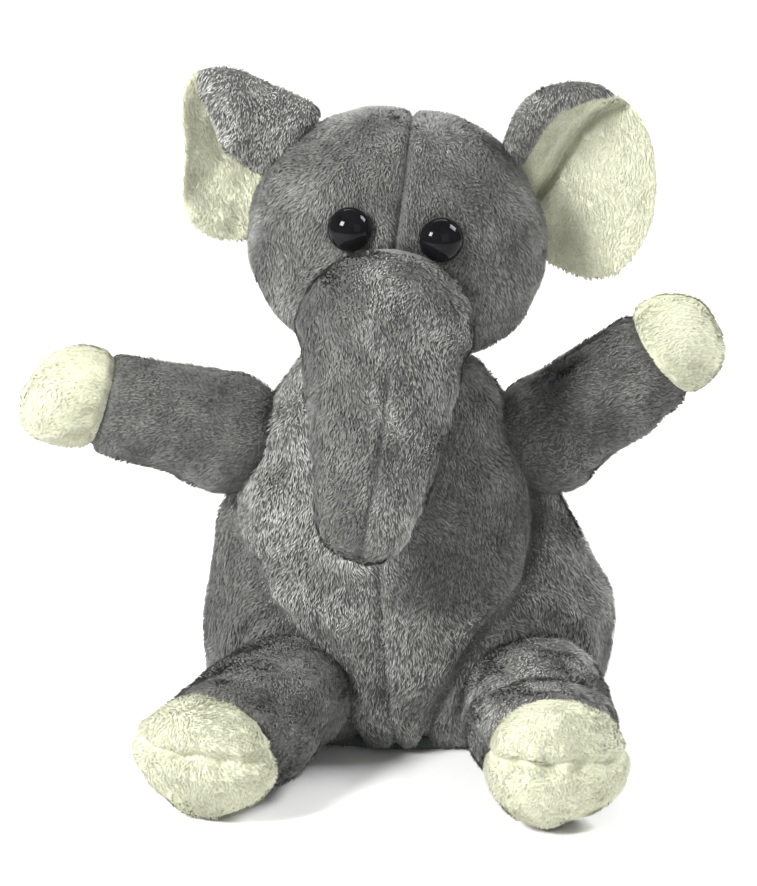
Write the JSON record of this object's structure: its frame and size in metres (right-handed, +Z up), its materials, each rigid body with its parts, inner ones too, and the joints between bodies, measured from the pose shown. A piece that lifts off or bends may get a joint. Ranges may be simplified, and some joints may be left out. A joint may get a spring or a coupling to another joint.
{
  "type": "elephant glove puppet",
  "caption": "Seated plush elephant glove puppet with a long trunk, round ears, outstretched arms and pale hands and feet, open underneath for a hand.",
  "frame": {"origin": "on the surface the puppet sits on, at the middle of its bounding box seen from above", "axes": "+Z up, the face looks along -Y, the puppet's left hand points along +X"},
  "size_m": [0.2236, 0.1575, 0.2212],
  "materials": {
    "grey_plush": "short warm grey pile",
    "cream_plush": "short cream pile",
    "hem_binding": "dark woven tape",
    "lining_cloth": "thin plain-weave lining",
    "stuffing": "polyester fibre stuffing",
    "eye_plastic": "polished black",
    "washer_plastic": "moulded white plastic"
  },
  "bodies": {
    "torso": {"belly_panel_left": "grey_plush", "belly_panel_right": "grey_plush", "back_panel_left": "grey_plush", "back_panel_right": "grey_plush", "body_wadding": "stuffing", "sleeve_lining": "lining_cloth", "opening_hem": "hem_binding"},
    "neck": {"neck_tube": "lining_cloth"},
    "neck_collar": {"neck_ring": "stuffing"},
    "head": {"face_left": "grey_plush", "face_right": "grey_plush", "head_back": "grey_plush", "head_stuffing": "stuffing", "head_finger_pocket": "lining_cloth", "left_eye": "eye_plastic", "right_eye": "eye_plastic", "left_eye_washer": "washer_plastic", "right_eye_washer": "washer_plastic"},
    "trunk": {"trunk_panel_left": "grey_plush", "trunk_panel_right": "grey_plush", "trunk_under_gusset": "grey_plush", "trunk_stuffing": "stuffing"},
    "left_ear": {"left_ear_back": "grey_plush", "left_ear_lining": "cream_plush"},
    "left_shoulder": {"left_shoulder_ring": "lining_cloth"},
    "left_arm": {"left_arm_front": "grey_plush", "left_arm_back": "grey_plush", "left_hand_front": "cream_plush", "left_hand_back": "cream_plush", "left_arm_stuffing": "stuffing", "left_arm_finger_pocket": "lining_cloth"},
    "left_leg": {"left_leg_top": "grey_plush", "left_leg_bottom": "grey_plush", "left_foot_top": "cream_plush", "left_foot_sole": "cream_plush", "left_leg_stuffing": "stuffing"},
    "right_ear": {"right_ear_back": "grey_plush", "right_ear_lining": "cream_plush"},
    "right_shoulder": {"right_shoulder_ring": "lining_cloth"},
    "right_arm": {"right_arm_front": "grey_plush", "right_arm_back": "grey_plush", "right_hand_front": "cream_plush", "right_hand_back": "cream_plush", "right_arm_stuffing": "stuffing", "right_arm_finger_pocket": "lining_cloth"},
    "right_leg": {"right_leg_top": "grey_plush", "right_leg_bottom": "grey_plush", "right_foot_top": "cream_plush", "right_foot_sole": "cream_plush", "right_leg_stuffing": "stuffing"}
  },
  "joints": [
    {"name": "head_turn", "type": "hinge", "parent": "torso", "child": "neck", "pos_m": [0.002, 0.027, 0.128], "axis": [0, 0, 1], "range_deg": [-35, 35], "stiffness_Nm_per_rad": 0.08},
    {"name": "head_tilt", "type": "hinge", "parent": "neck", "child": "neck_collar", "pos_m": [0.002, 0.027, 0.128], "axis": [0, 1, 0], "range_deg": [-12, 12], "stiffness_Nm_per_rad": 0.4},
    {"name": "head_nod", "type": "hinge", "parent": "neck_collar", "child": "head", "pos_m": [0.002, 0.027, 0.128], "axis": [1, 0, 0], "range_deg": [-20, 10], "stiffness_Nm_per_rad": 0.4},
    {"name": "trunk_swing", "type": "hinge", "parent": "head", "child": "trunk", "pos_m": [0.004, -0.016, 0.138], "axis": [-1, 0, 0], "range_deg": [-5, 60], "stiffness_Nm_per_rad": 0.08},
    {"name": "left_ear_flap", "type": "hinge", "parent": "head", "child": "left_ear", "pos_m": [0.04883, 0.02685, 0.18089], "axis": [0.246, -0.1464, -0.9581], "range_deg": [-25, 14], "stiffness_Nm_per_rad": 0.02},
    {"name": "right_ear_flap", "type": "hinge", "parent": "head", "child": "right_ear", "pos_m": [-0.03261, 0.03114, 0.18945], "axis": [0.4532, 0.1095, 0.8847], "range_deg": [-25, 14], "stiffness_Nm_per_rad": 0.02},
    {"name": "left_arm_raise", "type": "hinge", "parent": "torso", "child": "left_shoulder", "pos_m": [0.054, 0.026, 0.096], "axis": [0, -1, 0], "range_deg": [-45, 16], "stiffness_Nm_per_rad": 0.06},
    {"name": "left_arm_clap", "type": "hinge", "parent": "left_shoulder", "child": "left_arm", "pos_m": [0.054, 0.026, 0.096], "axis": [0, 0, -1], "range_deg": [-15, 34], "stiffness_Nm_per_rad": 0.06},
    {"name": "right_arm_raise", "type": "hinge", "parent": "torso", "child": "right_shoulder", "pos_m": [-0.049, 0.026, 0.096], "axis": [0, 1, 0], "range_deg": [-28, 35], "stiffness_Nm_per_rad": 0.06},
    {"name": "right_arm_clap", "type": "hinge", "parent": "right_shoulder", "child": "right_arm", "pos_m": [-0.049, 0.026, 0.096], "axis": [0, 0, 1], "range_deg": [-15, 34], "stiffness_Nm_per_rad": 0.06},
    {"name": "left_leg_swing", "type": "hinge", "parent": "torso", "child": "left_leg", "pos_m": [0.048, -0.015, 0.0255], "axis": [-1, 0, 0], "range_deg": [-40, 28], "stiffness_Nm_per_rad": 0.08},
    {"name": "right_leg_swing", "type": "hinge", "parent": "torso", "child": "right_leg", "pos_m": [-0.032, -0.015, 0.0255], "axis": [-1, 0, 0], "range_deg": [-40, 28], "stiffness_Nm_per_rad": 0.08}
  ]
}
